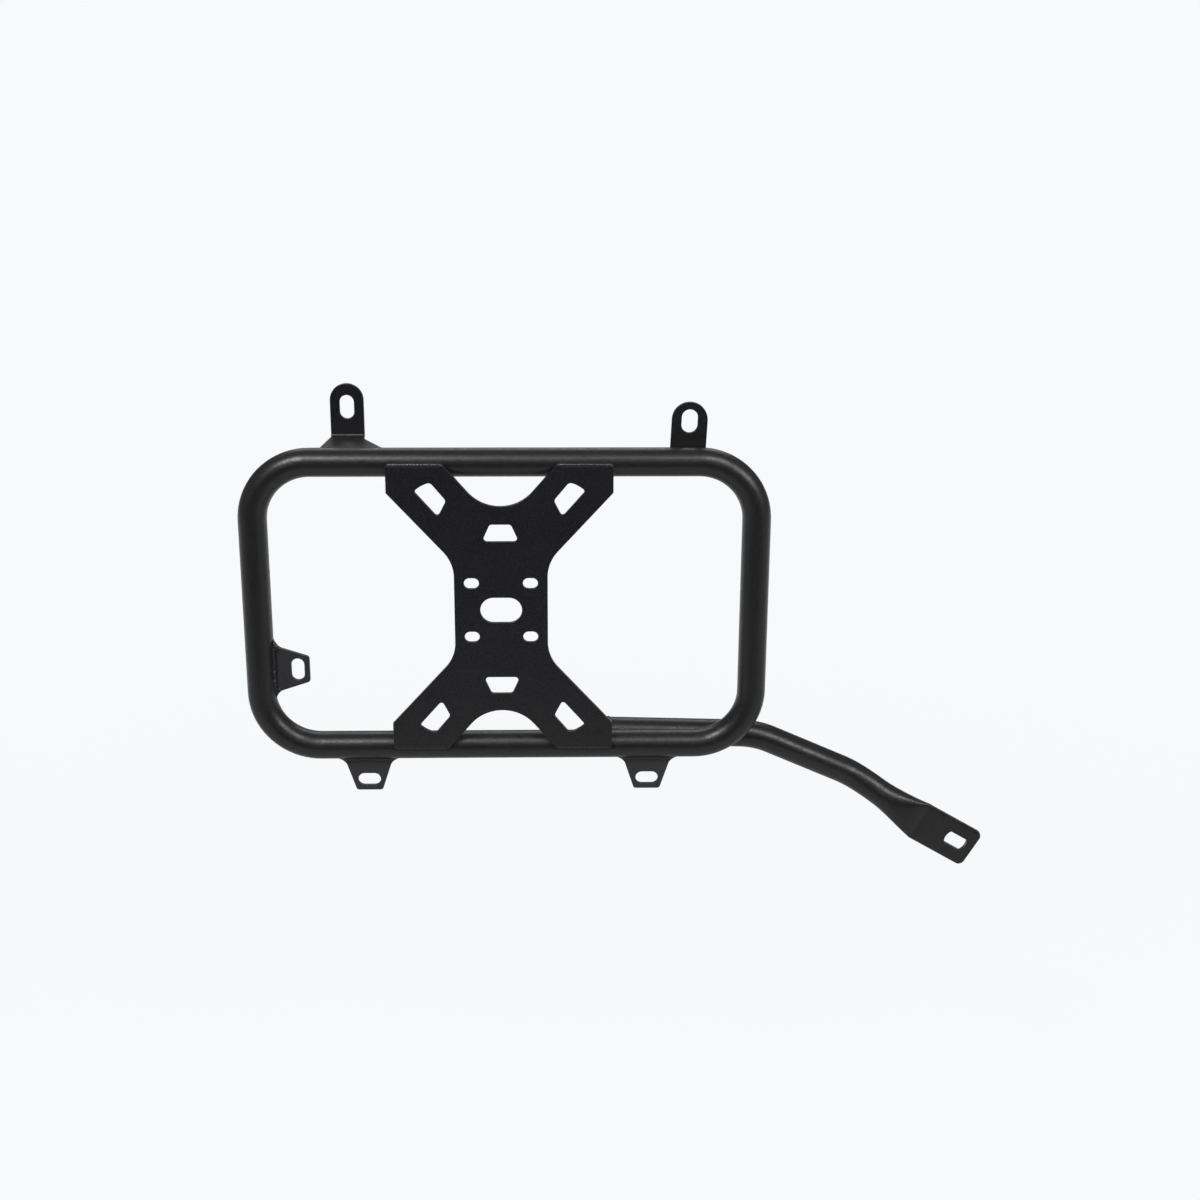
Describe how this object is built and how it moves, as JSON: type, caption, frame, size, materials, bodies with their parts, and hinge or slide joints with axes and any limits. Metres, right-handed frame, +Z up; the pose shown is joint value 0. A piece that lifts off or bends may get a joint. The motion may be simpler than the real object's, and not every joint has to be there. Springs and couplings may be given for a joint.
{
  "type": "pannier frame",
  "caption": "Bent-tube side hoop with a laser-cut cross plate, slotted tabs, two top brackets and a flattened support arm, for carrying a motorcycle side case.",
  "frame": {"origin": "centre of the cross plate's four-slot pattern, on the plate's outer face", "axes": "+X forward along the motorcycle, +Y inboard towards the motorcycle, +Z up"},
  "size_m": [0.5891, 0.0659, 0.393],
  "materials": {
    "hoop_coat": "satin black powder coat",
    "plate_coat": "satin black powder coat",
    "bracket_coat": "satin black powder coat",
    "tab_coat": "satin black powder coat",
    "arm_coat": "satin black powder coat",
    "plug_coat": "satin black powder coat",
    "weld_coat": "satin black powder coat over a rippled weld bead"
  },
  "bodies": {
    "root": {"hoop_tube": "hoop_coat", "cross_plate": "plate_coat", "rear_top_bracket": "bracket_coat", "front_top_bracket": "bracket_coat", "lower_rear_tab": "tab_coat", "lower_front_tab": "tab_coat", "side_tab": "tab_coat", "support_arm": "arm_coat", "arm_end_plug": "plug_coat", "plate_weld_top_rear": "weld_coat", "plate_weld_top_front": "weld_coat", "plate_weld_bottom_rear": "weld_coat", "plate_weld_bottom_front": "weld_coat", "rear_bracket_weld": "weld_coat", "front_bracket_weld_rear": "weld_coat", "front_bracket_weld_front": "weld_coat", "front_bracket_weld_foot": "weld_coat", "lower_rear_tab_weld": "weld_coat", "lower_front_tab_weld": "weld_coat", "side_tab_weld": "weld_coat", "arm_end_weld": "weld_coat", "arm_rail_weld": "weld_coat", "arm_corner_weld": "weld_coat"}
  },
  "joints": []
}
